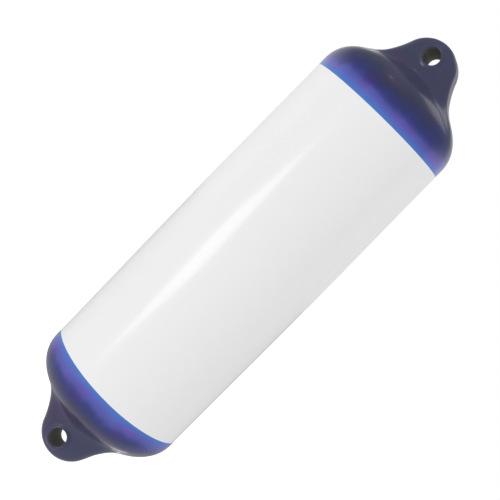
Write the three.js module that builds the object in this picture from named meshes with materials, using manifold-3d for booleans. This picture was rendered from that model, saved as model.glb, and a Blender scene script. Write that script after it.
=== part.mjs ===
// Inflatable boat fender: a cylinder of soft glossy vinyl with a domed end and a thick rope eye at each end,
// moulded in one piece. The wall is white and both ends are coloured blue. An inflation valve is let into the
// back of the upper dome: a threaded bush, closed by a slotted screw on a rubber seal. The air space inside
// is sealed and out of sight, so the moulding is solid here.
//
// Millimetres. +Z runs up the fender as it hangs, and the rope holes run along Y.
// The origin is the centre of the upper rope hole, from which the fender hangs.

import * as THREE from "three";
import { mergeVertices } from "three/addons/utils/BufferGeometryUtils.js";
import Module from "manifold-3d";

const wasm = await Module();
wasm.setup();

// Body: the straight wall lies between the two shoulders, where the domes begin.
const BODY_DIAMETER = 150;
const STRAIGHT_LENGTH = 356.5;
const WALL_CROWN = 0.9; // how far air pressure bows the wall out at mid-length

// Dome: a flattened ball, squared a little at the shoulder. An exponent of 2 would be an ellipse.
const DOME_HEIGHT = 45;
const DOME_SQUARENESS = 2.22;

// Rope eye: a thick flat lug with a round head, whose sides sweep out to the dome in hollow arcs.
const EYE_HEIGHT = 86.25; // tip of the eye above the shoulder
const EYE_HEAD_RADIUS = 29;
const EYE_THICKNESS = 37;
const EYE_EDGE_RADIUS = 11;
const EYE_SWEEP_RADIUS = 90;
const EYE_SWEEP_START = 21.6; // degrees above level at which a side leaves the round head
const EYE_ROOT_WIDTH = 128.5; // the lug's root lies inside the dome, and this keeps its corners there too
const EYE_ROOT_HEIGHT = 5;
const ROOT_BLEND = 8.2; // width of the soft hollow where lug and dome meet

// The lower eye is turned a little from the upper one, and its hole lies to one side of its middle.
const LOWER_EYE_TURN = 7.5; // degrees, seen from above
const LOWER_HOLE_ASIDE = -3;

// Rope hole, with a flat-topped bead round each mouth.
const HOLE_DIAMETER = 17;
const HOLE_TO_TIP = 18.25;
const HOLE_MOUTH_RADIUS = 1.5;
const BEAD_LAND = 1.2; // width of its flat top
const BEAD_HEIGHT = 0.9;
const BEAD_EDGE_RADIUS = 0.8;

// Where the blue begins, measured from each shoulder onto the straight wall.
const UPPER_BLUE_BELOW_SHOULDER = 7.3;
const LOWER_BLUE_ABOVE_SHOULDER = 3;

// Valve. The screw's shank passes through the seal into the bush, and its head shuts down on the seal.
const VALVE_SHARE = 2 / 3; // its middle, as a share of the way from the axis out to the wall
const VALVE_SINK = 1; // how far the bush's flange lies below the dome's skin
const SCREW_SHANK_DIAMETER = 6;
const SCREW_HEAD_THICKNESS = 1.8;
const SCREW_CHAMFER = 0.4;
const SCREW_SLOT_WIDTH = 1.4;
const SCREW_SLOT_DEPTH = 0.9;
const SCREW_PAST_BUSH = 1; // how far its tip stands out of the bush
const SEAL_SECTION_DIAMETER = 1.8;
const BUSH_WALL = 1.3;
const BUSH_THREAD_LENGTH = 6;
const BUSH_FLANGE_RIM = 2.4;
const BUSH_FLANGE_THICKNESS = 1.8;
const FIT_GAP = 0.3; // left between pieces that seat in or on each other

// Facets.
const COLUMNS = 48;
const END_ROWS = 28;
const WALL_ROWS = 6;
const HOLE_SIDES = 32;
const ARC_STEPS = 3;
const VALVE_SIDES = 24;
const SEAL_SIDES = 8;

const BODY_RADIUS = BODY_DIAMETER / 2;
const HOLE_ABOVE_SHOULDER = EYE_HEIGHT - HOLE_TO_TIP;
const UPPER_SHOULDER = -HOLE_ABOVE_SHOULDER;
const LOWER_SHOULDER = UPPER_SHOULDER - STRAIGHT_LENGTH;
const LOWER_HOLE = LOWER_SHOULDER - HOLE_ABOVE_SHOULDER;
const UPPER_BLUE_LINE = UPPER_SHOULDER - UPPER_BLUE_BELOW_SHOULDER;
const LOWER_BLUE_LINE = LOWER_SHOULDER + LOWER_BLUE_ABOVE_SHOULDER;

const UP = new THREE.Vector3(0, 0, 1);
const radians = THREE.MathUtils.degToRad;

// A closed three.js geometry as a solid that can be joined and cut, placed by a matrix if one is given.
function solidFrom(geometry, matrix = new THREE.Matrix4()) {
  const bare = new THREE.BufferGeometry();
  bare.setAttribute("position", geometry.getAttribute("position").clone());
  bare.setIndex(geometry.index);
  const merged = mergeVertices(bare.applyMatrix4(matrix), 1e-4);
  return new wasm.Manifold(
    new wasm.Mesh({
      numProp: 3,
      vertProperties: merged.getAttribute("position").array,
      triVerts: new Uint32Array(merged.index.array),
    }),
  );
}

// The solid back as a geometry, with flat faces so that each can have its own colour.
function geometryFrom(solid) {
  const mesh = solid.getMesh();
  const indexed = new THREE.BufferGeometry();
  indexed.setAttribute("position", new THREE.BufferAttribute(mesh.vertProperties, 3));
  indexed.setIndex(new THREE.BufferAttribute(mesh.triVerts, 1));
  const flat = indexed.toNonIndexed();
  flat.computeVertexNormals();
  return flat;
}

// A profile of [radius, height] points turned round Z. It starts and ends on the axis, or closes on itself.
function turned(profile, sides) {
  const points = profile.map(([radius, height]) => new THREE.Vector2(radius, height));
  return new THREE.LatheGeometry(points, sides).rotateX(Math.PI / 2);
}

// Points of an arc round a centre, for a profile, from one angle in degrees to another.
function arc(centreRadius, centreHeight, radius, from, to) {
  return Array.from({ length: ARC_STEPS + 1 }, (_, i) => {
    const angle = radians(from + ((to - from) * i) / ARC_STEPS);
    return [centreRadius + radius * Math.cos(angle), centreHeight + radius * Math.sin(angle)];
  });
}

// Outer skin of one end. Heights here are above the shoulder, and distances are + outside and - inside.

const EYE_CENTRE = EYE_HEIGHT - EYE_HEAD_RADIUS;
const EYE_EDGE = Math.min(EYE_EDGE_RADIUS, EYE_THICKNESS / 2, EYE_HEAD_RADIUS);
const SWEEP_CENTRE_X = (EYE_HEAD_RADIUS + EYE_SWEEP_RADIUS) * Math.cos(radians(EYE_SWEEP_START));
const SWEEP_CENTRE_Z = EYE_CENTRE + (EYE_HEAD_RADIUS + EYE_SWEEP_RADIUS) * Math.sin(radians(EYE_SWEEP_START));

function domeDistance(x, y, z) {
  const across = Math.hypot(x, y) / BODY_RADIUS;
  const up = Math.max(z, 0) / DOME_HEIGHT;
  const reach = (across ** DOME_SQUARENESS + up ** DOME_SQUARENESS) ** (1 / DOME_SQUARENESS);
  return Math.hypot(x, y, z) * (1 - 1 / reach);
}

// The lug's outline in the XZ plane: its round head down to the sweep's start, and the hollow side below.
function eyeOutlineDistance(x, z) {
  const onHead = Math.atan2(z - EYE_CENTRE, Math.abs(x)) >= radians(EYE_SWEEP_START);
  return onHead
    ? Math.hypot(x, z - EYE_CENTRE) - EYE_HEAD_RADIUS
    : EYE_SWEEP_RADIUS - Math.hypot(SWEEP_CENTRE_X - Math.abs(x), SWEEP_CENTRE_Z - z);
}

function eyeDistance(x, y, z) {
  const root = Math.max(Math.abs(x) - EYE_ROOT_WIDTH / 2, EYE_ROOT_HEIGHT - z);
  const side = Math.max(eyeOutlineDistance(x, z), root) + EYE_EDGE;
  const face = Math.abs(y) - EYE_THICKNESS / 2 + EYE_EDGE;
  return Math.hypot(Math.max(side, 0), Math.max(face, 0)) + Math.min(Math.max(side, face), 0) - EYE_EDGE;
}

// Dome and lug run into each other with a soft hollow between them.
function endDistance(x, y, z) {
  const dome = domeDistance(x, y, z);
  const eye = eyeDistance(x, y, z);
  const near = Math.max(ROOT_BLEND - Math.abs(dome - eye), 0) / ROOT_BLEND;
  return Math.min(dome, eye) - (near * near * ROOT_BLEND) / 4;
}

// Each row of the skin is met by rays from one point on the axis. The points climb from the shoulder to the
// eye's centre while the rays tip up: [share of rows, share of the climb, degrees above level].
const SPINE = [
  [0, 0, 0],
  [0.37, 0.04, 38],
  [0.57, 0.38, 50],
  [0.8, 0.87, 55],
  [1, 1, 90],
];

function spineAt(share) {
  const next = Math.max(1, SPINE.findIndex((stop) => stop[0] >= share));
  const [from, to] = [SPINE[next - 1], SPINE[next]];
  const along = (share - from[0]) / (to[0] - from[0]);
  const climb = THREE.MathUtils.lerp(from[1], to[1], along);
  return { height: climb * EYE_CENTRE, tip: radians(THREE.MathUtils.lerp(from[2], to[2], along)) };
}

// Where the ray in the direction of angle leaves the end, by halving the stretch that holds the skin.
function endPoint(share, angle) {
  const { height, tip } = spineAt(share);
  const level = Math.cos(tip);
  const ray = new THREE.Vector3(level * Math.cos(angle), level * Math.sin(angle), Math.sin(tip));
  let inside = 0.01;
  let outside = BODY_RADIUS + EYE_HEIGHT;
  while (outside - inside > 1e-4) {
    const middle = (inside + outside) / 2;
    const out = endDistance(ray.x * middle, ray.y * middle, height + ray.z * middle) > 0;
    if (out) outside = middle;
    else inside = middle;
  }
  return ray.multiplyScalar(inside).setZ(height + ray.z);
}

// The straight wall's radius, bowed out a little between the shoulders.
function wallRadius(z) {
  const share = (z - LOWER_SHOULDER) / STRAIGHT_LENGTH;
  return BODY_RADIUS + WALL_CROWN * Math.sin(Math.PI * share) ** 2;
}

// Heights of the wall's rows between the shoulders, the edges of the white among them.
function wallHeights() {
  const step = STRAIGHT_LENGTH / WALL_ROWS;
  const even = Array.from({ length: WALL_ROWS - 1 }, (_, i) => LOWER_SHOULDER + step * (i + 1));
  return [...even, LOWER_BLUE_LINE, UPPER_BLUE_LINE].sort((a, b) => a - b);
}

// The closed skin: rows of points from the lower tip to the upper tip. Each four-sided patch is split along
// its shorter diagonal.
function skin() {
  const ring = (pointAt) =>
    Array.from({ length: COLUMNS }, (_, column) => pointAt((2 * Math.PI * column) / COLUMNS));
  const end = (shoulder, up, turn) =>
    Array.from({ length: END_ROWS }, (_, row) =>
      ring((angle) => {
        const point = endPoint(row / END_ROWS, angle - turn);
        return point.applyAxisAngle(UP, turn).setZ(shoulder + up * point.z);
      }),
    );
  const wall = wallHeights().map((z) =>
    ring((angle) => new THREE.Vector3(wallRadius(z) * Math.cos(angle), wallRadius(z) * Math.sin(angle), z)),
  );
  const lowerEnd = end(LOWER_SHOULDER, -1, radians(LOWER_EYE_TURN)).reverse();
  const rows = [...lowerEnd, ...wall, ...end(UPPER_SHOULDER, 1, 0)];

  const points = rows.flat();
  const lowerTip = points.push(new THREE.Vector3(0, 0, LOWER_SHOULDER - EYE_HEIGHT)) - 1;
  const upperTip = points.push(new THREE.Vector3(0, 0, UPPER_SHOULDER + EYE_HEIGHT)) - 1;
  const triangles = [];
  const at = (row, column) => row * COLUMNS + (column % COLUMNS);
  const apart = (one, other) => points[one].distanceTo(points[other]);
  for (let column = 0; column < COLUMNS; column++) {
    triangles.push(lowerTip, at(0, column + 1), at(0, column));
    for (let row = 0; row < rows.length - 1; row++) {
      const [a, b] = [at(row, column), at(row, column + 1)];
      const [c, d] = [at(row + 1, column + 1), at(row + 1, column)];
      triangles.push(...(apart(a, c) < apart(b, d) ? [a, b, c, a, c, d] : [a, b, d, b, c, d]));
    }
    triangles.push(upperTip, at(rows.length - 1, column), at(rows.length - 1, column + 1));
  }
  return new THREE.BufferGeometry().setFromPoints(points).setIndex(triangles);
}

// Rope holes. These shapes are turned round Z and then laid along Y.

const ALONG_Y = new THREE.Matrix4().makeRotationX(Math.PI / 2);
const BEAD_FACE = EYE_THICKNESS / 2 + BEAD_HEIGHT;
const MOUTH_RADIUS = HOLE_DIAMETER / 2 + HOLE_MOUTH_RADIUS;

function holeMatrix(height, turn, aside) {
  const centre = new THREE.Vector3(aside, 0, height).applyAxisAngle(UP, turn);
  return new THREE.Matrix4().makeRotationZ(turn).multiply(ALONG_Y).setPosition(centre);
}

// A disc through the lug, standing proud of both faces by the height of the bead.
function bead() {
  const corner = MOUTH_RADIUS + BEAD_LAND;
  const rim = BEAD_FACE - BEAD_EDGE_RADIUS;
  return turned(
    [
      [0, -BEAD_FACE],
      ...arc(corner, -rim, BEAD_EDGE_RADIUS, -90, 0),
      ...arc(corner, rim, BEAD_EDGE_RADIUS, 0, 90),
      [0, BEAD_FACE],
    ],
    HOLE_SIDES,
  );
}

// What the rope hole removes: a bore that opens at each face with a rounded mouth.
function bore() {
  const start = BEAD_FACE - HOLE_MOUTH_RADIUS;
  const clear = BEAD_FACE + 1;
  return turned(
    [
      [0, -clear],
      [MOUTH_RADIUS, -clear],
      ...arc(MOUTH_RADIUS, -start, HOLE_MOUTH_RADIUS, 270, 180),
      ...arc(MOUTH_RADIUS, start, HOLE_MOUTH_RADIUS, 180, 90),
      [MOUTH_RADIUS, clear],
      [0, clear],
    ],
    HOLE_SIDES,
  );
}

// Valve. It lies on the fender's middle plane, square to the dome's skin, and each piece is turned round the
// valve's own axis, where 0 is the skin and negative is inwards. The screw's head ends level with the flange.

const VALVE_CLIMB = (1 - VALVE_SHARE ** DOME_SQUARENESS) ** (1 / DOME_SQUARENESS);
const VALVE_AXIS = new THREE.Vector3(
  0,
  VALVE_SHARE ** (DOME_SQUARENESS - 1) / BODY_RADIUS,
  VALVE_CLIMB ** (DOME_SQUARENESS - 1) / DOME_HEIGHT,
).normalize();
const VALVE_HEIGHT = UPPER_SHOULDER + DOME_HEIGHT * VALVE_CLIMB;
const VALVE_PLACE = new THREE.Vector3(0, VALVE_SHARE * BODY_RADIUS, VALVE_HEIGHT);
const VALVE_TURN = new THREE.Quaternion().setFromUnitVectors(UP, VALVE_AXIS);
const VALVE_MATRIX = new THREE.Matrix4().compose(VALVE_PLACE, VALVE_TURN, new THREE.Vector3(1, 1, 1));

const HEAD_UNDERSIDE = -VALVE_SINK - SCREW_HEAD_THICKNESS;
const SEAL_HEIGHT = HEAD_UNDERSIDE - FIT_GAP - SEAL_SECTION_DIAMETER / 2;
const COUNTERBORE_FLOOR = SEAL_HEIGHT - SEAL_SECTION_DIAMETER / 2 - FIT_GAP;
const FLANGE_UNDERSIDE = -VALVE_SINK - BUSH_FLANGE_THICKNESS;
const BUSH_END = COUNTERBORE_FLOOR - BUSH_THREAD_LENGTH;
const SCREW_TIP = BUSH_END - SCREW_PAST_BUSH;

const SHANK_RADIUS = SCREW_SHANK_DIAMETER / 2;
const SEAL_INNER_RADIUS = SHANK_RADIUS + FIT_GAP;
const HEAD_RADIUS = SEAL_INNER_RADIUS + SEAL_SECTION_DIAMETER;
const COUNTERBORE_RADIUS = HEAD_RADIUS + FIT_GAP;
const BARREL_RADIUS = COUNTERBORE_RADIUS + BUSH_WALL;
const FLANGE_RADIUS = BARREL_RADIUS + BUSH_FLANGE_RIM;

// The stepped blind hole in the moulding that the bush and the screw's tip sit in.
function valveSeat() {
  const bottom = SCREW_TIP - FIT_GAP;
  const step = FLANGE_UNDERSIDE - FIT_GAP;
  const clear = VALVE_SINK;
  return turned(
    [
      [0, bottom],
      [BARREL_RADIUS + FIT_GAP, bottom],
      [BARREL_RADIUS + FIT_GAP, step],
      [FLANGE_RADIUS + FIT_GAP, step],
      [FLANGE_RADIUS + FIT_GAP, clear],
      [0, clear],
    ],
    VALVE_SIDES,
  );
}

function bush() {
  const inner = SHANK_RADIUS + FIT_GAP;
  return turned(
    [
      [inner, BUSH_END],
      [BARREL_RADIUS, BUSH_END],
      [BARREL_RADIUS, FLANGE_UNDERSIDE],
      [FLANGE_RADIUS, FLANGE_UNDERSIDE],
      [FLANGE_RADIUS, -VALVE_SINK],
      [COUNTERBORE_RADIUS, -VALVE_SINK],
      [COUNTERBORE_RADIUS, COUNTERBORE_FLOOR],
      [inner, COUNTERBORE_FLOOR],
      [inner, BUSH_END],
    ],
    VALVE_SIDES,
  );
}

function seal() {
  const section = SEAL_SECTION_DIAMETER / 2;
  const ring = new THREE.TorusGeometry(SEAL_INNER_RADIUS + section, section, SEAL_SIDES, VALVE_SIDES);
  return ring.translate(0, 0, SEAL_HEIGHT);
}

function screw() {
  const blank = turned(
    [
      [0, SCREW_TIP],
      [SHANK_RADIUS - SCREW_CHAMFER, SCREW_TIP],
      [SHANK_RADIUS, SCREW_TIP + SCREW_CHAMFER],
      [SHANK_RADIUS, HEAD_UNDERSIDE],
      [HEAD_RADIUS, HEAD_UNDERSIDE],
      [HEAD_RADIUS, -VALVE_SINK - SCREW_CHAMFER],
      [HEAD_RADIUS - SCREW_CHAMFER, -VALVE_SINK],
      [0, -VALVE_SINK],
    ],
    VALVE_SIDES,
  );
  const slot = new THREE.BoxGeometry(3 * HEAD_RADIUS, SCREW_SLOT_WIDTH, 2 * SCREW_SLOT_DEPTH);
  return geometryFrom(solidFrom(blank).subtract(solidFrom(slot.translate(0, 0, -VALVE_SINK))));
}

// The moulding: the skin with a bead round each rope hole, and the valve's seat and the holes cut.
function moulding() {
  let body = solidFrom(skin()).subtract(solidFrom(valveSeat(), VALVE_MATRIX));
  const upper = holeMatrix(0, 0, 0);
  const lower = holeMatrix(LOWER_HOLE, radians(LOWER_EYE_TURN), LOWER_HOLE_ASIDE);
  for (const place of [upper, lower]) {
    body = body.add(solidFrom(bead(), place)).subtract(solidFrom(bore(), place));
  }
  return geometryFrom(body);
}

// Colours every face by the height of its middle: blue past the edge of the white at either end.
function paint(geometry, white, blue) {
  const position = geometry.getAttribute("position");
  const colours = new Float32Array(position.count * 3);
  for (let face = 0; face < position.count; face += 3) {
    const middle = (position.getZ(face) + position.getZ(face + 1) + position.getZ(face + 2)) / 3;
    const colour = middle > UPPER_BLUE_LINE || middle < LOWER_BLUE_LINE ? blue : white;
    for (let corner = 0; corner < 3; corner++) colour.toArray(colours, 3 * (face + corner));
  }
  return geometry.setAttribute("color", new THREE.BufferAttribute(colours, 3));
}

function piece(name, geometry, material) {
  const mesh = new THREE.Mesh(geometry, material);
  mesh.name = name;
  return mesh;
}

const WHITE_VINYL = new THREE.Color(0xf1f1ee);
const BLUE_VINYL = new THREE.Color(0x2c2f7c);
const vinyl = new THREE.MeshStandardMaterial({ vertexColors: true, roughness: 0.22, metalness: 0 });
const nylon = new THREE.MeshStandardMaterial({ color: 0x23252b, roughness: 0.5, metalness: 0 });
const acetal = new THREE.MeshStandardMaterial({ color: 0xe6e6e2, roughness: 0.4, metalness: 0 });
const rubber = new THREE.MeshStandardMaterial({ color: 0x151515, roughness: 0.8, metalness: 0 });

const valve = new THREE.Group();
valve.position.copy(VALVE_PLACE);
valve.quaternion.copy(VALVE_TURN);
valve.add(
  piece("valve_bush", bush(), nylon),
  piece("valve_seal", seal(), rubber),
  piece("valve_screw", screw(), acetal),
);

const fender = new THREE.Group();
fender.add(piece("fender_body", paint(moulding(), WHITE_VINYL, BLUE_VINYL), vinyl), valve);

export default fender;
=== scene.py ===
import math

import bmesh
import bpy
import numpy as np
import openvdb
from mathutils import Matrix, Quaternion, Vector


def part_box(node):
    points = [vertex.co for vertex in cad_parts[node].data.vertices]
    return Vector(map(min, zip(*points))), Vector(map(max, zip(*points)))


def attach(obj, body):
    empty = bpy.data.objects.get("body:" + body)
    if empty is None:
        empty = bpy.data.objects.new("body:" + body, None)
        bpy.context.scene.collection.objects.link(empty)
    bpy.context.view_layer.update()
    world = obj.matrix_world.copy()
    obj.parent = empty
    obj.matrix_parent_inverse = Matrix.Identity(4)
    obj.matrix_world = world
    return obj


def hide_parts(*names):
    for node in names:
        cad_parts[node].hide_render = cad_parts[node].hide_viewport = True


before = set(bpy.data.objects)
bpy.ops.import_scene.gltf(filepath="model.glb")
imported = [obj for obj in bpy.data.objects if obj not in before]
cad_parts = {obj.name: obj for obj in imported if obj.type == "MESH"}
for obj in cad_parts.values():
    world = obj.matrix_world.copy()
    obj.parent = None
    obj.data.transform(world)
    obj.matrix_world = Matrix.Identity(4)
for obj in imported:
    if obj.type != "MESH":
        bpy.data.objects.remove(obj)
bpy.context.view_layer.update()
scene = bpy.context.scene

# Moulding. One hollow piece of soft, glossy vinyl: the white wall, the blue domes and the thick rope eyes.
# It is pressed full of air, so every corner is round and the eyes run into the domes with no seam.

MM = 0.001
BODY_RADIUS = 75 * MM
WALL_CROWN = 0.9 * MM  # how far the air bows the wall out at mid-length
DOME_HEIGHT = 44.6 * MM
DOME_SQUARENESS = 2.26  # 2 is an ellipse, and more is squarer
EYE_HEIGHT = 86.25 * MM  # tip of the eye above the shoulder
EYE_HEAD_RADIUS = 29 * MM
EYE_THICKNESS = 37 * MM
EYE_EDGE_RADIUS = 11.2 * MM
EYE_SWEEP_RADIUS = 86.6 * MM
EYE_SWEEP_START = math.radians(21.5)  # above level, where each side leaves the round head
EYE_ROOT_WIDTH = 135.2 * MM  # the root lies inside the dome
EYE_ROOT_HEIGHT = 5 * MM
EYE_ROOT_RADIUS = 14 * MM
EDGE_BLEND = 8.2 * MM  # width of the soft hollow where an eye's edges meet the dome
FACE_BLEND = 19 * MM  # and where its flat faces do
FACE_BLEND_REACH = 44 * MM  # how far from the middle of a face it narrows to the edges' width
LOWER_EYE_TURN = math.radians(7.5)
LOWER_HOLE_ASIDE = -3 * MM
HOLE_RADIUS = 8.45 * MM
HOLE_MOUTH_RADIUS = 1.3 * MM
BEAD_RADIUS = 9.7 * MM
BEAD_HEIGHT = 1.1 * MM
BEAD_SECTION_RADIUS = 1.8 * MM
BEAD_ROOT_RADIUS = 1.6 * MM

body_low, body_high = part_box("fender_body")
UPPER_SHOULDER = body_high.z - EYE_HEIGHT
LOWER_SHOULDER = body_low.z + EYE_HEIGHT
MID_WALL = (UPPER_SHOULDER + LOWER_SHOULDER) / 2
HOLE_ABOVE_SHOULDER = -UPPER_SHOULDER  # the frame's origin is the upper rope hole's centre
EYE_CENTRE = EYE_HEIGHT - EYE_HEAD_RADIUS
SWEEP_REACH = EYE_HEAD_RADIUS + EYE_SWEEP_RADIUS
SWEEP_X = SWEEP_REACH * math.cos(EYE_SWEEP_START)
SWEEP_Z = EYE_CENTRE + SWEEP_REACH * math.sin(EYE_SWEEP_START)

# The valve's seat is a stepped hole in the back of the upper dome, square to its skin.
VALVE_SHARE = 2 / 3  # its middle, as a share of the way from the axis out to the wall
SEAT_RADIUS = 9.4 * MM
SEAT_DEPTH = 3.1 * MM
SEAT_EDGE_RADIUS = 0.8 * MM
BARREL_HOLE_RADIUS = 7.0 * MM
BARREL_HOLE_DEPTH = 12.9 * MM
valve_climb = (1 - VALVE_SHARE**DOME_SQUARENESS) ** (1 / DOME_SQUARENESS)
valve_place = Vector((0, VALVE_SHARE * BODY_RADIUS, UPPER_SHOULDER + DOME_HEIGHT * valve_climb))
valve_axis = Vector(
    (
        0,
        VALVE_SHARE ** (DOME_SQUARENESS - 1) / BODY_RADIUS,
        valve_climb ** (DOME_SQUARENESS - 1) / DOME_HEIGHT,
    )
).normalized()


def round_union(a, b, radius):
    """Joins two distances, with a hollow fillet where their skins meet."""
    reach = np.hypot(np.maximum(radius - a, 0), np.maximum(radius - b, 0))
    return np.maximum(radius, np.minimum(a, b)) - reach


def round_overlap(a, b, radius):
    """Keeps what lies inside both distances, with a rounded edge where their skins meet."""
    reach = np.hypot(np.maximum(radius + a, 0), np.maximum(radius + b, 0))
    return np.minimum(-radius, np.maximum(a, b)) + reach


def body_distance(x, y, z):
    """The wall and both domes, below zero inside them."""
    above = np.maximum(z - UPPER_SHOULDER, LOWER_SHOULDER - z)
    share = np.clip((z - LOWER_SHOULDER) / (UPPER_SHOULDER - LOWER_SHOULDER), 0, 1)
    wall_radius = BODY_RADIUS + WALL_CROWN * np.sin(math.pi * share) ** 2
    across = np.hypot(x, y)
    up = np.maximum(above, 0)
    power = DOME_SQUARENESS
    reach = ((across / BODY_RADIUS) ** power + (up / DOME_HEIGHT) ** power) ** (1 / power)
    dome = np.hypot(across, up) * (1 - 1 / np.maximum(reach, 1e-6))
    return np.where(above > 0, dome, across - wall_radius)


def eye_distance(across, through, height):
    """One eye's lug, in its own frame: across it, through it, and up from its shoulder."""
    on_head = np.arctan2(height - EYE_CENTRE, np.abs(across)) >= EYE_SWEEP_START
    head = np.hypot(across, height - EYE_CENTRE) - EYE_HEAD_RADIUS
    sweep = EYE_SWEEP_RADIUS - np.hypot(SWEEP_X - np.abs(across), SWEEP_Z - height)
    root = np.maximum(np.abs(across) - EYE_ROOT_WIDTH / 2, EYE_ROOT_HEIGHT - height)
    outline = round_overlap(np.where(on_head, head, sweep), root, EYE_ROOT_RADIUS)
    return round_overlap(outline, np.abs(through) - EYE_THICKNESS / 2, EYE_EDGE_RADIUS)


def seat_distance(x, y, z):
    """The stepped hole that the valve sits in."""
    place = [x - valve_place.x, y - valve_place.y, z - valve_place.z]
    out = sum(offset * axis for offset, axis in zip(place, valve_axis))
    off_axis = np.sqrt(np.maximum(sum(offset**2 for offset in place) - out**2, 0))
    flange = np.maximum(off_axis - SEAT_RADIUS, -SEAT_DEPTH - out)
    barrel = np.maximum(off_axis - BARREL_HOLE_RADIUS, -BARREL_HOLE_DEPTH - out)
    return np.minimum(flange, barrel)


def skin_distance(x, y, z):
    """The finished moulding: below zero inside its skin and above zero outside it.

    Each eye runs into its dome in a soft hollow, which is wider in the middle of the eye's flat faces.
    """
    lower = z < MID_WALL
    turn = np.where(lower, LOWER_EYE_TURN, 0)
    across = x * np.cos(turn) + y * np.sin(turn)
    through = y * np.cos(turn) - x * np.sin(turn)
    height = np.where(lower, LOWER_SHOULDER - z, z - UPPER_SHOULDER)
    body = body_distance(x, y, z)
    eye = eye_distance(across, through, height)
    on_face = np.maximum(1 - (across / FACE_BLEND_REACH) ** 2, 0) ** 2
    blend = EDGE_BLEND + (FACE_BLEND - EDGE_BLEND) * on_face
    near = np.maximum(1 - np.abs(body - eye) / blend, 0)
    skin = np.minimum(body, eye) - near**2 * blend / 4
    aside = np.where(lower, LOWER_HOLE_ASIDE, 0)
    from_hole = np.hypot(across - aside, height - HOLE_ABOVE_SHOULDER)
    bead_centre = EYE_THICKNESS / 2 + BEAD_HEIGHT - BEAD_SECTION_RADIUS
    bead = np.hypot(from_hole - BEAD_RADIUS, np.abs(through) - bead_centre) - BEAD_SECTION_RADIUS
    skin = round_union(skin, bead, BEAD_ROOT_RADIUS)
    skin = round_overlap(skin, HOLE_RADIUS - from_hole, HOLE_MOUTH_RADIUS)
    return round_overlap(skin, -seat_distance(x, y, z), SEAT_EDGE_RADIUS)


def grid_lines(stops):
    """Grid lines through a row of places, each given with the step to use after it."""
    lines = [np.array([stops[0][0]])]
    for (start, step), (end, _) in zip(stops[:-1], stops[1:]):
        count = max(1, round((end - start) / step))
        lines.append(np.linspace(start, end, count + 1)[1:])
    return np.concatenate(lines)


# The skin is sampled on grid lines that lie closer round the eyes, the rope holes and the valve's seat.
COARSE = 3.1 * MM
FINE = 1.25 * MM
FINEST = 0.7 * MM
OUTSIDE = BODY_RADIUS + 4 * MM
PAST_TIP = EYE_HEIGHT + 3 * MM
EYE_SIDE = 34 * MM
EYE_FRONT = 31 * MM
HOLE_ROOM = 15 * MM
SEAT_ROOM = 12 * MM
WALL_LINES = 48
seat_y = valve_place.y
seat_height = valve_place.z - UPPER_SHOULDER
lines_x = grid_lines(
    [
        (-OUTSIDE, COARSE),
        (-EYE_SIDE, FINE),
        (-HOLE_ROOM, FINEST),
        (HOLE_ROOM, FINE),
        (EYE_SIDE, COARSE),
        (OUTSIDE, 0),
    ]
)
lines_y = grid_lines(
    [
        (-OUTSIDE, COARSE),
        (-EYE_FRONT, FINE),
        (EYE_FRONT, COARSE),
        (seat_y - SEAT_ROOM, FINEST),
        (seat_y + SEAT_ROOM, COARSE),
        (OUTSIDE, 0),
    ]
)
lines_up = grid_lines(
    [
        (0, COARSE),
        (seat_height - SEAT_ROOM, FINEST),
        (HOLE_ABOVE_SHOULDER - HOLE_ROOM, FINEST),
        (HOLE_ABOVE_SHOULDER + HOLE_ROOM, FINE),
        (PAST_TIP, 0),
    ]
)
wall_lines = np.linspace(LOWER_SHOULDER, UPPER_SHOULDER, WALL_LINES)
lines_z = np.concatenate([LOWER_SHOULDER - lines_up[:0:-1], wall_lines, UPPER_SHOULDER + lines_up[1:]])
samples = skin_distance(*np.meshgrid(lines_x, lines_y, lines_z, indexing="ij"))
grid = openvdb.FloatGrid(1.0)
grid.copyFromArray(samples.astype(np.float32))
grid_points, triangles, quads = grid.convertToPolygons(isovalue=0.0, adaptivity=0.0)
points = np.column_stack(
    [
        np.interp(steps, np.arange(len(lines)), lines)
        for steps, lines in zip(grid_points.T, (lines_x, lines_y, lines_z))
    ]
)

# Each point slides along the slope until it lies on the skin, where the slope is the skin's own normal.
SLIDES = 6
LEAST_STEEPNESS = 0.05
PROBE = 0.02 * MM


def slope(at):
    """How fast the distance grows along X, Y and Z at each point. It points straight out of the skin."""
    rises = [
        skin_distance(*(at + probe).T) - skin_distance(*(at - probe).T) for probe in np.eye(3) * PROBE
    ]
    return np.column_stack(rises) / (2 * PROBE)


for _ in range(SLIDES):
    uphill = slope(points)
    steepness = np.maximum((uphill**2).sum(axis=1), LEAST_STEEPNESS)
    points -= uphill * (skin_distance(*points.T) / steepness)[:, None]
normals = slope(points)
normals /= np.linalg.norm(normals, axis=1)[:, None]

moulding_mesh = bpy.data.meshes.new("moulding")
moulding_mesh.from_pydata(points.tolist(), [], quads.tolist() + triangles.tolist())
moulding_mesh.update()
moulding_mesh.shade_smooth()
moulding_mesh.normals_split_custom_set_from_vertices(normals.tolist())
moulding = bpy.data.objects.new("moulding", moulding_mesh)
scene.collection.objects.link(moulding)


def add_node(tree, kind, inputs, **settings):
    """Adds a node with these settings. Each input is a plain value or another node's output."""
    node = tree.nodes.new(kind)
    for setting, value in settings.items():
        setattr(node, setting, value)
    for socket, value in inputs.items():
        if isinstance(value, bpy.types.NodeSocket):
            tree.links.new(value, node.inputs[socket])
        else:
            node.inputs[socket].default_value = value
    return node


def calculate(tree, kind, operation, *values):
    """Adds a Math or VectorMath node, and returns what it works out."""
    node = add_node(tree, "ShaderNode" + kind, dict(enumerate(values)), operation=operation)
    is_number = kind == "Math" or operation in ("LENGTH", "DOT_PRODUCT")
    return node.outputs["Value" if is_number else "Vector"]


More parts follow.
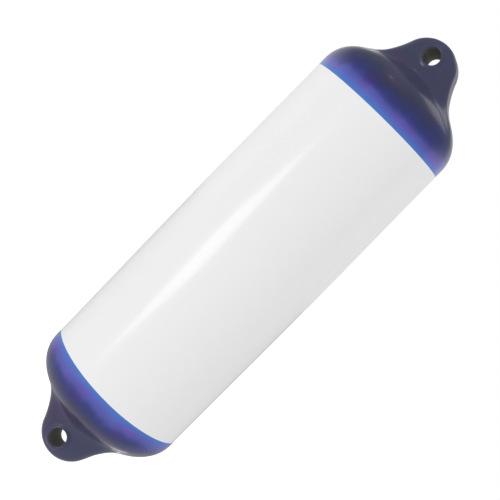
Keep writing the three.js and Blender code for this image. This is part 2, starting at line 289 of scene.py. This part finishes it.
def smooth_step(tree, value, start, end, low=0.0, high=1.0):
    """A smooth step from low, where value is start, to high, where it is end."""
    inputs = {"Value": value, "From Min": start, "From Max": end, "To Min": low, "To Max": high}
    step = add_node(tree, "ShaderNodeMapRange", inputs, interpolation_type="SMOOTHSTEP")
    return step.outputs["Result"]


NOISE_MIDDLE = 0.5


def noise(tree, position, per_metre, detail):
    """Soft noise about zero over these positions."""
    inputs = {"Vector": position, "Scale": per_metre, "Detail": detail}
    level = add_node(tree, "ShaderNodeTexNoise", inputs).outputs["Fac"]
    return calculate(tree, "Math", "SUBTRACT", level, NOISE_MIDDLE)


# Every moulded or turned face is a little uneven. This one effect gives its height, from long waves and a
# fine grain, and its roughness, which goes with the grain.
moulded_face = bpy.data.node_groups.new("moulded_face", "ShaderNodeTree")
moulded_face.interface.new_socket("Position", in_out="INPUT", socket_type="NodeSocketVector")
for name in ("Wave Length", "Wave Depth", "Grain Size", "Grain Depth", "Roughness", "Roughness Spread"):
    moulded_face.interface.new_socket(name, in_out="INPUT", socket_type="NodeSocketFloat")
for name in ("Height", "Roughness"):
    moulded_face.interface.new_socket(name, in_out="OUTPUT", socket_type="NodeSocketFloat")
given = moulded_face.nodes.new("NodeGroupInput").outputs
waves_per_metre = calculate(moulded_face, "Math", "DIVIDE", 1.0, given["Wave Length"])
waves = noise(moulded_face, given["Position"], waves_per_metre, detail=1)
grains_per_metre = calculate(moulded_face, "Math", "DIVIDE", 1.0, given["Grain Size"])
grain = noise(moulded_face, given["Position"], grains_per_metre, detail=1)
wave_height = calculate(moulded_face, "Math", "MULTIPLY", waves, given["Wave Depth"])
grain_height = calculate(moulded_face, "Math", "MULTIPLY", grain, given["Grain Depth"])
spread = calculate(moulded_face, "Math", "MULTIPLY", grain, given["Roughness Spread"])
add_node(
    moulded_face,
    "NodeGroupOutput",
    {
        "Height": calculate(moulded_face, "Math", "ADD", wave_height, grain_height),
        "Roughness": calculate(moulded_face, "Math", "ADD", spread, given["Roughness"]),
    },
)


def moulded_plastic(name, colour, unevenness):
    """A material of one colour with that uneven face on it."""
    material = bpy.data.materials.new(name)
    material.use_nodes = True
    tree = material.node_tree
    shader = tree.nodes["Principled BSDF"]
    shader.inputs["Base Color"].default_value = colour
    position = tree.nodes.new("ShaderNodeTexCoord").outputs["Object"]
    face = add_node(tree, "ShaderNodeGroup", {"Position": position, **unevenness}, node_tree=moulded_face)
    bump = add_node(tree, "ShaderNodeBump", {"Distance": 1.0, "Height": face.outputs["Height"]})
    tree.links.new(face.outputs["Roughness"], shader.inputs["Roughness"])
    tree.links.new(bump.outputs["Normal"], shader.inputs["Normal"])
    return material


VINYL_WHITE = (0.86, 0.86, 0.863, 1)
VINYL_SPECULAR = 0.4
vinyl = moulded_plastic(
    "vinyl",
    VINYL_WHITE,
    {
        "Wave Length": 34 * MM,
        "Wave Depth": 0.09 * MM,
        "Grain Size": 2.2 * MM,
        "Grain Depth": 0.002 * MM,
        "Roughness": 0.17,
        "Roughness Spread": 0.06,
    },
)
tree = vinyl.node_tree
shader = tree.nodes["Principled BSDF"]
shader.inputs["Specular IOR Level"].default_value = VINYL_SPECULAR
position = tree.nodes.new("ShaderNodeTexCoord").outputs["Object"]

# The blue starts at a level line below the upper shoulder, and at a slightly tilted and bowed one above the
# lower shoulder. It is lightest at that line, a painted glow of light passing into the blue from the white
# wall, and deepens to navy within 50 mm, partly the ends' own navy and partly painted shade.
UPPER_BLUE_LINE = UPPER_SHOULDER - 7.3 * MM
LOWER_BLUE_LINE = LOWER_SHOULDER + 1.75 * MM
LOWER_LINE_TILT = -1.5 * MM
LOWER_LINE_BOW = 3 * MM
LOWER_LINE_AZIMUTH = math.radians(17.1)  # the way along which it is tilted and bowed
DEEPENING = 50 * MM
BLUE_EDGE = 6.25 * MM  # how far in the blue's own gloss and tints come up to full strength
along_line = (math.cos(LOWER_LINE_AZIMUTH) / BODY_RADIUS, math.sin(LOWER_LINE_AZIMUTH) / BODY_RADIUS, 0)
height = calculate(tree, "VectorMath", "DOT_PRODUCT", position, (0, 0, 1))
side = calculate(tree, "VectorMath", "DOT_PRODUCT", position, along_line)
bow = calculate(tree, "Math", "MULTIPLY_ADD", side, LOWER_LINE_BOW, LOWER_LINE_TILT)
lower_line = calculate(tree, "Math", "MULTIPLY_ADD", side, bow, LOWER_BLUE_LINE)
into_upper = calculate(tree, "Math", "SUBTRACT", height, UPPER_BLUE_LINE)
into_lower = calculate(tree, "Math", "SUBTRACT", lower_line, height)
into_blue = calculate(tree, "Math", "MAXIMUM", into_upper, into_lower)
depth = calculate(tree, "Math", "DIVIDE", into_blue, DEEPENING)
blue_share = calculate(tree, "Math", "MINIMUM", calculate(tree, "Math", "DIVIDE", into_blue, BLUE_EDGE), 1)
blue_share = calculate(tree, "Math", "MAXIMUM", blue_share, 0)

# The pigment isn't spread evenly, so the deepening comes sooner in some places.
PATCH_SIZE = 30 * MM
PATCH_SHIFT = 1.2
patches = noise(tree, position, 1 / PATCH_SIZE, detail=3)
sooner = calculate(tree, "Math", "MULTIPLY_ADD", patches, PATCH_SHIFT, 1)
ramp = add_node(tree, "ShaderNodeValToRGB", {"Fac": calculate(tree, "Math", "MULTIPLY", depth, sooner)})
# These stops paint the glow at the line and the shade further in, over the ends' own blue.
COLOURS_INTO_BLUE_WITH_PAINTED_LIGHT = [
    (0.0, VINYL_WHITE),
    (0.008, (0.045, 0.20, 0.56, 1)),
    (0.05, (0.075, 0.165, 0.555, 1)),
    (0.14, (0.092, 0.108, 0.45, 1)),
    (0.22, (0.076, 0.085, 0.37, 1)),
    (0.29, (0.043, 0.05, 0.252, 1)),
    (0.36, (0.027, 0.035, 0.178, 1)),
    (0.50, (0.027, 0.034, 0.125, 1)),
    (0.66, (0.033, 0.038, 0.090, 1)),
    (0.90, (0.050, 0.054, 0.113, 1)),
]
elements = ramp.color_ramp.elements
elements[0].position, elements[0].color = COLOURS_INTO_BLUE_WITH_PAINTED_LIGHT[0]
elements[1].position, elements[1].color = COLOURS_INTO_BLUE_WITH_PAINTED_LIGHT[-1]
for place, colour in COLOURS_INTO_BLUE_WITH_PAINTED_LIGHT[1:-1]:
    elements.new(place).color = colour

# In other places the blue drifts to violet.
VIOLET_TINT = (1.5, 0.72, 1.0, 1)
VIOLET_SIZE = 27 * MM
VIOLET_PLACE = (0.31, 0.17, 0.05)  # moves this noise away from the one above
VIOLET_START = -0.02
VIOLET_FULL = 0.22
VIOLET_STRENGTH = 0.6
moved = calculate(tree, "VectorMath", "ADD", position, VIOLET_PLACE)
drift = noise(tree, moved, 1 / VIOLET_SIZE, detail=1)
violet_share = smooth_step(tree, drift, VIOLET_START, VIOLET_FULL, high=VIOLET_STRENGTH)
violet_share = calculate(tree, "Math", "MULTIPLY", violet_share, blue_share)
tints = {"Factor": violet_share, "A": ramp.outputs["Color"], "B": VIOLET_TINT}
tinted = add_node(tree, "ShaderNodeMix", tints, data_type="RGBA", blend_type="MULTIPLY")

# The rope holes' walls are dull, and their colour is painted shade: nearly black, with a trace of olive.
BORE_PAINTED_SHADE = (0.125, 0.135, 0.11, 1)
BORE_EDGE = HOLE_RADIUS + 0.1 * MM
BORE_END = HOLE_RADIUS + 0.7 * MM
lower_hole = (
    LOWER_HOLE_ASIDE * math.cos(LOWER_EYE_TURN),
    LOWER_HOLE_ASIDE * math.sin(LOWER_EYE_TURN),
    LOWER_SHOULDER - HOLE_ABOVE_SHOULDER,
)
from_lower = calculate(tree, "VectorMath", "SUBTRACT", position, lower_hole)
turn_back = {"Vector": from_lower, "Angle": -LOWER_EYE_TURN}
from_lower = add_node(tree, "ShaderNodeVectorRotate", turn_back, rotation_type="Z_AXIS").outputs["Vector"]
off_axis = [
    calculate(tree, "VectorMath", "LENGTH", calculate(tree, "VectorMath", "MULTIPLY", place, (1, 0, 1)))
    for place in (position, from_lower)
]
nearest = calculate(tree, "Math", "MINIMUM", *off_axis)
bore_share = smooth_step(tree, nearest, BORE_EDGE, BORE_END, low=1.0, high=0.0)
colours = {"Factor": bore_share, "A": tinted.outputs["Result"], "B": BORE_PAINTED_SHADE}
coloured = add_node(tree, "ShaderNodeMix", colours, data_type="RGBA")
tree.links.new(coloured.outputs["Result"], shader.inputs["Base Color"])

# The blue is a little duller than the white, with a thin clear gloss on it. The bores are dull all through.
BLUE_ROUGHER = 0.13
BORE_ROUGHER = 0.35
BLUE_GLOSS = 0.35
BLUE_GLOSS_ROUGHNESS = 0.07
rougher = shader.inputs["Roughness"].links[0].from_socket
rougher = calculate(tree, "Math", "MULTIPLY_ADD", blue_share, BLUE_ROUGHER, rougher)
rougher = calculate(tree, "Math", "MULTIPLY_ADD", bore_share, BORE_ROUGHER, rougher)
tree.links.new(rougher, shader.inputs["Roughness"])
gloss = calculate(tree, "Math", "MULTIPLY", blue_share, BLUE_GLOSS)
gloss = calculate(tree, "Math", "MULTIPLY_ADD", bore_share, -BLUE_GLOSS, gloss)
tree.links.new(gloss, shader.inputs["Coat Weight"])
shader.inputs["Coat Roughness"].default_value = BLUE_GLOSS_ROUGHNESS
moulding_mesh.materials.append(vinyl)
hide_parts("fender_body")
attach(moulding, "root")

# Valve bush. Turned from charcoal nylon and welded into the moulding, where it keeps the screw's thread.
# Its flange lies just below the dome's skin, and four notches in it take the spanner.

VALVE_SINK = 1 * MM
SHANK_RADIUS = 3 * MM
VALVE_FIT = 0.3 * MM
BUSH_BORE_RADIUS = SHANK_RADIUS + VALVE_FIT
COUNTERBORE_RADIUS = 5.4 * MM
COUNTERBORE_FLOOR = -5.2 * MM
BARREL_RADIUS = 6.7 * MM
FLANGE_RADIUS = 9.1 * MM
FLANGE_UNDERSIDE = -2.8 * MM
BUSH_END = -11.2 * MM
NOTCHES = 4
NOTCH_RING_RADIUS = 8 * MM
NOTCH_SIZE = (2.6 * MM, 1.8 * MM, 1.6 * MM)
NYLON_CHARCOAL = (0.018, 0.02, 0.026, 1)
TURNED_STEPS = 96
SAME_PLACE = 0.001 * MM
SHARP_ANGLE = math.radians(35)
valve_turn = Vector((0, 0, 1)).rotation_difference(valve_axis)
valve_matrix = Matrix.Translation(valve_place) @ valve_turn.to_matrix().to_4x4()


def rounded_outline(corners, steps=4):
    """The points of an outline. Each corner is a complex number, radius and height, and its rounding."""
    points = []
    for i, (at, rounding) in enumerate(corners):
        if not rounding:
            points.append(at)
            continue
        before, after = corners[i - 1][0], corners[(i + 1) % len(corners)][0]
        back, on = (before - at) / abs(before - at), (after - at) / abs(after - at)
        half = math.acos(max(-1, min(1, (back * on.conjugate()).real))) / 2
        centre = at + (back + on) / abs(back + on) * rounding / math.sin(half)
        start = at + back * rounding / math.tan(half) - centre
        end = at + on * rounding / math.tan(half) - centre
        points += [centre + start * (end / start) ** (step / steps) for step in range(steps + 1)]
    return points


def turned_mesh(name, corners, closed):
    """A mesh turned on the Z axis: a ring from a closed outline, or a solid from one that meets the axis."""
    outline = rounded_outline([(complex(radius, up), rounding) for radius, up, rounding in corners])
    bm = bmesh.new()
    rim = [bm.verts.new((point.real, 0, point.imag)) for point in outline]
    pairs = list(zip(rim, rim[1:])) + ([(rim[-1], rim[0])] if closed else [])
    edges = [bm.edges.new(pair) for pair in pairs]
    bmesh.ops.spin(
        bm,
        geom=rim + edges,
        cent=(0, 0, 0),
        axis=(0, 0, 1),
        angle=math.tau,
        steps=TURNED_STEPS,
        use_merge=True,
    )
    bmesh.ops.remove_doubles(bm, verts=bm.verts, dist=SAME_PLACE)
    bmesh.ops.recalc_face_normals(bm, faces=bm.faces)
    mesh = bpy.data.meshes.new(name)
    bm.to_mesh(mesh)
    bm.free()
    return mesh


def geometry_tree(name, sizes):
    """A geometry tree that takes Geometry, these inputs and a Material. Returns it and their sockets."""
    tree = bpy.data.node_groups.new(name, "GeometryNodeTree")
    inputs = {"Geometry": "Geometry", **sizes, "Material": "Material"}
    for size, kind in inputs.items():
        tree.interface.new_socket(size, in_out="INPUT", socket_type="NodeSocket" + kind)
    tree.interface.new_socket("Geometry", in_out="OUTPUT", socket_type="NodeSocketGeometry")
    return tree, tree.nodes.new("NodeGroupInput").outputs


def raised(tree, geometry, height):
    """Moves geometry up by height, in a geometry tree."""
    offset = add_node(tree, "ShaderNodeCombineXYZ", {"Z": height}).outputs["Vector"]
    moved = add_node(tree, "GeometryNodeSetPosition", {"Geometry": geometry, "Offset": offset})
    return moved.outputs["Geometry"]


def cut_away(tree, geometry, cutter):
    """Takes cutter out of geometry, in a geometry tree."""
    meshes = {"Mesh 1": geometry, "Mesh 2": cutter}
    return add_node(tree, "GeometryNodeMeshBoolean", meshes, operation="DIFFERENCE").outputs["Mesh"]


def finish_tree(tree, given, geometry):
    """Ends a geometry tree: no instances are left in it, and all of it gets the tree's Material."""
    real = add_node(tree, "GeometryNodeRealizeInstances", {"Geometry": geometry}).outputs["Geometry"]
    inputs = {"Geometry": real, "Material": given["Material"]}
    dressed = add_node(tree, "GeometryNodeSetMaterial", inputs).outputs["Geometry"]
    add_node(tree, "NodeGroupOutput", {"Geometry": dressed})


def shaped_piece(name, blank, tree, values):
    """An object whose mesh is the blank as the geometry tree shapes it with these values."""
    piece = bpy.data.objects.new(name, blank)
    scene.collection.objects.link(piece)
    modifier = piece.modifiers.new(tree.name, "NODES")
    modifier.node_group = tree
    for item in tree.interface.items_tree:
        if item.in_out == "INPUT" and item.name in values:
            modifier[item.identifier] = values[item.name]
    bpy.context.view_layer.update()
    evaluated = piece.evaluated_get(bpy.context.evaluated_depsgraph_get())
    mesh = bpy.data.meshes.new_from_object(evaluated)
    piece.modifiers.remove(modifier)
    piece.data = mesh
    return piece


def finish_turned(piece, node):
    """Puts a turned piece in its place on the dome, hides the CAD node it stands for, and attaches it to the
    root body.
    """
    piece.data.transform(valve_matrix)
    piece.data.shade_smooth()
    piece.data.set_sharp_from_angle(angle=SHARP_ANGLE)
    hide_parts(node)
    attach(piece, "root")


nylon = moulded_plastic(
    "nylon",
    NYLON_CHARCOAL,
    {
        "Wave Length": 6 * MM,
        "Wave Depth": 0.004 * MM,
        "Grain Size": 0.35 * MM,
        "Grain Depth": 0.006 * MM,
        "Roughness": 0.46,
        "Roughness Spread": 0.12,
    },
)

# The spanner notches are cut by one block repeated round the flange.
notches, given = geometry_tree(
    "spanner_notches", {"Count": "Int", "Ring Radius": "Float", "Block": "Vector", "Top": "Float"}
)
ring_sizes = {"Vertices": given["Count"], "Radius": given["Ring Radius"]}
ring = add_node(notches, "GeometryNodeMeshCircle", ring_sizes)
spot = notches.nodes.new("GeometryNodeInputPosition").outputs["Position"]
outwards = calculate(notches, "VectorMath", "MULTIPLY", spot, (1, 1, 0))
facing = add_node(notches, "FunctionNodeAlignRotationToVector", {"Vector": outwards}, axis="X")
block = add_node(notches, "GeometryNodeMeshCube", {"Size": given["Block"]})
blocks = add_node(
    notches,
    "GeometryNodeInstanceOnPoints",
    {
        "Points": raised(notches, ring.outputs["Mesh"], given["Top"]),
        "Instance": block.outputs["Mesh"],
        "Rotation": facing.outputs["Rotation"],
    },
)
real_blocks = add_node(notches, "GeometryNodeRealizeInstances", {"Geometry": blocks.outputs["Instances"]})
notched = cut_away(notches, given["Geometry"], real_blocks.outputs["Geometry"])
finish_tree(notches, given, notched)

bush_mesh = turned_mesh(
    "valve_bush",
    [
        (BUSH_BORE_RADIUS, BUSH_END, 0.2 * MM),
        (BARREL_RADIUS, BUSH_END, 0.5 * MM),
        (BARREL_RADIUS, FLANGE_UNDERSIDE, 0),
        (FLANGE_RADIUS, FLANGE_UNDERSIDE, 0.2 * MM),
        (FLANGE_RADIUS, -VALVE_SINK, 0.5 * MM),
        (COUNTERBORE_RADIUS, -VALVE_SINK, 0.25 * MM),
        (COUNTERBORE_RADIUS, COUNTERBORE_FLOOR, 0),
        (BUSH_BORE_RADIUS, COUNTERBORE_FLOOR, 0.2 * MM),
    ],
    closed=True,
)
bush = shaped_piece(
    "valve_bush_turned",
    bush_mesh,
    notches,
    {
        "Count": NOTCHES,
        "Ring Radius": NOTCH_RING_RADIUS,
        "Block": NOTCH_SIZE,
        "Top": -VALVE_SINK,
        "Material": nylon,
    },
)
finish_turned(bush, "valve_bush")

# Valve seal. A black rubber ring, moulded, that lies on the counterbore's floor under the screw's head.
# The screw squeezes it, and that keeps the air in.

SEAL_SECTION = 0.9 * MM
SEAL_RADIUS = BUSH_BORE_RADIUS + SEAL_SECTION
SEAL_HEIGHT = -4 * MM
SEAL_SIDES = 20
RUBBER_BLACK = (0.012, 0.012, 0.013, 1)


def swept(tree, path, radius, sides, capped=False):
    """Runs a round section along a path, in a geometry tree."""
    section = add_node(tree, "GeometryNodeCurvePrimitiveCircle", {"Resolution": sides, "Radius": radius})
    inputs = {"Curve": path, "Profile Curve": section.outputs["Curve"], "Fill Caps": capped}
    return add_node(tree, "GeometryNodeCurveToMesh", inputs).outputs["Mesh"]


rubber = moulded_plastic(
    "rubber",
    RUBBER_BLACK,
    {
        "Wave Length": 3 * MM,
        "Wave Depth": 0.01 * MM,
        "Grain Size": 0.2 * MM,
        "Grain Depth": 0.005 * MM,
        "Roughness": 0.62,
        "Roughness Spread": 0.1,
    },
)
seal_ring, given = geometry_tree("seal_ring", {"Radius": "Float", "Section": "Float", "Height": "Float"})
circle_sizes = {"Resolution": TURNED_STEPS, "Radius": given["Radius"]}
circle = add_node(seal_ring, "GeometryNodeCurvePrimitiveCircle", circle_sizes)
ring = swept(seal_ring, circle.outputs["Curve"], given["Section"], SEAL_SIDES)
finish_tree(seal_ring, given, raised(seal_ring, ring, given["Height"]))
seal = shaped_piece(
    "valve_seal_ring",
    bpy.data.meshes.new("valve_seal"),
    seal_ring,
    {"Radius": SEAL_RADIUS, "Section": SEAL_SECTION, "Height": SEAL_HEIGHT, "Material": rubber},
)
finish_turned(seal, "valve_seal")

# Valve screw. Turned from white acetal, with a slot for a coin and a coarse thread that holds it in the bush.
# Its head fills the counterbore and lies level with the bush's flange.

HEAD_RADIUS = 5.1 * MM
HEAD_UNDERSIDE = -2.8 * MM
HEAD_EDGE = 0.45 * MM
SCREW_TIP = -12.2 * MM
SLOT_WIDTH = 1.4 * MM
SLOT_DEPTH = 0.9 * MM
THREAD_START = SCREW_TIP + 0.6 * MM
THREAD_PITCH = 1.5 * MM
THREAD_TURNS = 4.0
THREAD_RIDGE = 0.3 * MM
THREAD_STEPS = 48
RIDGE_SIDES = 8
CORE_RADIUS = SHANK_RADIUS - THREAD_RIDGE
ACETAL_WHITE = (0.76, 0.76, 0.73, 1)

acetal = moulded_plastic(
    "acetal",
    ACETAL_WHITE,
    {
        "Wave Length": 4 * MM,
        "Wave Depth": 0.004 * MM,
        "Grain Size": 0.25 * MM,
        "Grain Depth": 0.002 * MM,
        "Roughness": 0.34,
        "Roughness Spread": 0.08,
    },
)
thread, given = geometry_tree(
    "slot_and_thread",
    {
        "Slot": "Vector",
        "Slot Height": "Float",
        "Turns": "Float",
        "Pitch": "Float",
        "Core Radius": "Float",
        "Ridge": "Float",
        "Start": "Float",
    },
)
cutter = add_node(thread, "GeometryNodeMeshCube", {"Size": given["Slot"]})
slotted = cut_away(thread, given["Geometry"], raised(thread, cutter.outputs["Mesh"], given["Slot Height"]))
helix = add_node(
    thread,
    "GeometryNodeCurveSpiral",
    {
        "Resolution": THREAD_STEPS,
        "Rotations": given["Turns"],
        "Start Radius": given["Core Radius"],
        "End Radius": given["Core Radius"],
        "Height": calculate(thread, "Math", "MULTIPLY", given["Turns"], given["Pitch"]),
    },
)
ridge = swept(thread, helix.outputs["Curve"], given["Ridge"], RIDGE_SIDES, capped=True)
both = add_node(thread, "GeometryNodeJoinGeometry", {"Geometry": raised(thread, ridge, given["Start"])})
thread.links.new(slotted, both.inputs["Geometry"])
finish_tree(thread, given, both.outputs["Geometry"])

screw_mesh = turned_mesh(
    "valve_screw",
    [
        (0, SCREW_TIP, 0),
        (CORE_RADIUS, SCREW_TIP, 0.5 * MM),
        (CORE_RADIUS, HEAD_UNDERSIDE, 0.1 * MM),
        (HEAD_RADIUS, HEAD_UNDERSIDE, 0.15 * MM),
        (HEAD_RADIUS, -VALVE_SINK, HEAD_EDGE),
        (0, -VALVE_SINK, 0),
    ],
    closed=False,
)
screw = shaped_piece(
    "valve_screw_turned",
    screw_mesh,
    thread,
    {
        "Slot": (3 * HEAD_RADIUS, SLOT_WIDTH, 2 * SLOT_DEPTH),
        "Slot Height": -VALVE_SINK,
        "Turns": THREAD_TURNS,
        "Pitch": THREAD_PITCH,
        "Core Radius": CORE_RADIUS,
        "Ridge": THREAD_RIDGE,
        "Start": THREAD_START,
        "Material": acetal,
    },
)
finish_turned(screw, "valve_screw")

# Floor and surround. The surround is plain white, and the floor lies well below the hanging fender.
# What the gloss mirrors is dimmer: a dark room round the camera and overhead, and pale walls past the fender.

SURROUND_STRENGTH = 0.925
DARK_ROOM = 0.2
PALE_WALLS = 0.75
WALLS_START = 0.1  # along the way to the camera, which is 1 towards it and 0 at right angles to it
WALLS_FULL = -0.1
CEILING_START = 0.15  # upwards, which is 1 straight overhead
CEILING_FULL = 0.55
CAMERA_AZIMUTH = math.radians(17.1)
FLOOR_DROP = 0.6
FLOOR_SIZE = 24
FLOOR_PAINT = 0.9
FLOOR_ROUGHNESS = 0.9
FLOOR_MIRRORED = 0.5
FLOOR_LIFT = 0.35

world = bpy.data.worlds.new("surround")
world.use_nodes = True
scene.world = world
tree = world.node_tree
surround = tree.nodes["Background"]
surround.inputs["Color"].default_value = (1, 1, 1, 1)
ray = tree.nodes.new("ShaderNodeLightPath").outputs
direction = tree.nodes.new("ShaderNodeTexCoord").outputs["Generated"]
to_camera = (math.sin(CAMERA_AZIMUTH), -math.cos(CAMERA_AZIMUTH), 0)
towards_camera = calculate(tree, "VectorMath", "DOT_PRODUCT", direction, to_camera)
upwards = calculate(tree, "VectorMath", "DOT_PRODUCT", direction, (0, 0, 1))
past_fender = smooth_step(tree, towards_camera, WALLS_START, WALLS_FULL)
below_ceiling = smooth_step(tree, upwards, CEILING_FULL, CEILING_START)
walls = calculate(tree, "Math", "MULTIPLY", past_fender, below_ceiling)
mirrored = calculate(tree, "Math", "MULTIPLY_ADD", walls, PALE_WALLS - DARK_ROOM, DARK_ROOM)
strength = SURROUND_STRENGTH
for kind, seen in (("Is Glossy Ray", mirrored), ("Is Camera Ray", 1.0)):
    choice = add_node(tree, "ShaderNodeMix", {"Factor": ray[kind], "A": strength, "B": seen})
    strength = choice.outputs["Result"]
tree.links.new(strength, surround.inputs["Strength"])

floor_mesh = bpy.data.meshes.new("floor")
floor_bm = bmesh.new()
bmesh.ops.create_grid(floor_bm, x_segments=1, y_segments=1, size=FLOOR_SIZE / 2)
floor_bm.to_mesh(floor_mesh)
floor_bm.free()
floor = bpy.data.objects.new("floor", floor_mesh)
floor.location.z = body_low.z - FLOOR_DROP
scene.collection.objects.link(floor)
pale_floor = bpy.data.materials.new("pale_floor")
pale_floor.use_nodes = True
tree = pale_floor.node_tree
paint = tree.nodes["Principled BSDF"]
paint.inputs["Roughness"].default_value = FLOOR_ROUGHNESS
paint.inputs["Emission Color"].default_value = (1, 1, 1, 1)
ray = tree.nodes.new("ShaderNodeLightPath").outputs
dimming = FLOOR_MIRRORED - FLOOR_PAINT
grey = calculate(tree, "Math", "MULTIPLY_ADD", ray["Is Glossy Ray"], dimming, FLOOR_PAINT)
tree.links.new(grey, paint.inputs["Base Color"])
lift = calculate(tree, "Math", "MULTIPLY", ray["Is Camera Ray"], FLOOR_LIFT)
tree.links.new(lift, paint.inputs["Emission Strength"])
floor_mesh.materials.append(pale_floor)

# Lamp. One soft box to the left of the camera draws the bright streak down the wall. It leans to one side,
# and so does the streak.

LAMP_AZIMUTH = math.radians(-25)
LAMP_HEIGHT = -0.385
LAMP_DISTANCE = 1.5
LAMP_WIDTH = 0.45
LAMP_LENGTH = 0.47
LAMP_LEAN = math.radians(31)
LAMP_POWER = 2.85

lamp_data = bpy.data.lights.new("soft_box", "AREA")
lamp_data.shape = "RECTANGLE"
lamp_data.size = LAMP_WIDTH
lamp_data.size_y = LAMP_LENGTH
lamp_data.energy = LAMP_POWER
lamp = bpy.data.objects.new("soft_box", lamp_data)
lamp.location = (
    LAMP_DISTANCE * math.sin(LAMP_AZIMUTH),
    -LAMP_DISTANCE * math.cos(LAMP_AZIMUTH),
    LAMP_HEIGHT,
)
aimed = (lamp.location - Vector((0, 0, MID_WALL))).to_track_quat("Z", "Y")
lamp.rotation_euler = (aimed @ Quaternion((0, 0, 1), LAMP_LEAN)).to_euler()
scene.collection.objects.link(lamp)

# Glint lamps. Four dim soft boxes, overhead and behind, that only show as glints on the glossy blue ends.
# Each row gives a lamp's name, its place, the shoulder that it is aimed at, its side and its power.

GLINT_LAMPS = [
    ("glint_overhead", (-0.345, -0.045, 1.105), UPPER_SHOULDER, 0.06, 0.06),
    ("glint_behind", (-0.565, 0.955, 0.385), UPPER_SHOULDER, 0.1, 0.035),
    ("glint_side", (0.15, 0.77, 0.84), UPPER_SHOULDER, 0.45, 0.42),
    ("glint_low", (-0.03, 0.975, -1.14), LOWER_SHOULDER, 0.14, 0.3),
]
for name, place, shoulder, side, power in GLINT_LAMPS:
    glint_data = bpy.data.lights.new(name, "AREA")
    glint_data.size = side
    glint_data.energy = power
    glint = bpy.data.objects.new(name, glint_data)
    glint.location = place
    glint.rotation_euler = (glint.location - Vector((0, 0, shoulder))).to_track_quat("Z", "Y").to_euler()
    glint.visible_diffuse = False
    glint.visible_camera = False
    scene.collection.objects.link(glint)

# Camera. The fender hangs upright, and the camera is rolled so that its upper end points to the top right.
# It looks at a point near the middle of the wall from a little above.

FRAME_PIXELS = 500
CAMERA_ELEVATION = math.radians(3.94)
CAMERA_ROLL = math.radians(44.41)
CAMERA_DISTANCE = 1.18
FOCAL_PIXELS = 1263.3
SENSOR_WIDTH = 36
LOOK_SIDEWAYS = -0.33 * MM
LOOK_HEIGHT = -242.65 * MM

scene.view_settings.view_transform = "Standard"
camera_back = Vector(
    (
        math.sin(CAMERA_AZIMUTH) * math.cos(CAMERA_ELEVATION),
        -math.cos(CAMERA_AZIMUTH) * math.cos(CAMERA_ELEVATION),
        math.sin(CAMERA_ELEVATION),
    )
)
camera_right = Vector((math.cos(CAMERA_AZIMUTH), math.sin(CAMERA_AZIMUTH), 0))
camera_up = camera_back.cross(camera_right)
look_at = camera_right * LOOK_SIDEWAYS + Vector((0, 0, LOOK_HEIGHT))
camera_data = bpy.data.cameras.new("camera")
camera_data.sensor_width = SENSOR_WIDTH
camera_data.lens = SENSOR_WIDTH * FOCAL_PIXELS / FRAME_PIXELS
camera = bpy.data.objects.new("camera", camera_data)
rolled_right = camera_right * math.cos(CAMERA_ROLL) + camera_up * math.sin(CAMERA_ROLL)
rolled_up = camera_up * math.cos(CAMERA_ROLL) - camera_right * math.sin(CAMERA_ROLL)
rolled = Matrix((rolled_right, rolled_up, camera_back)).transposed().to_4x4()
camera.matrix_world = Matrix.Translation(look_at + camera_back * CAMERA_DISTANCE) @ rolled
scene.collection.objects.link(camera)
scene.camera = camera
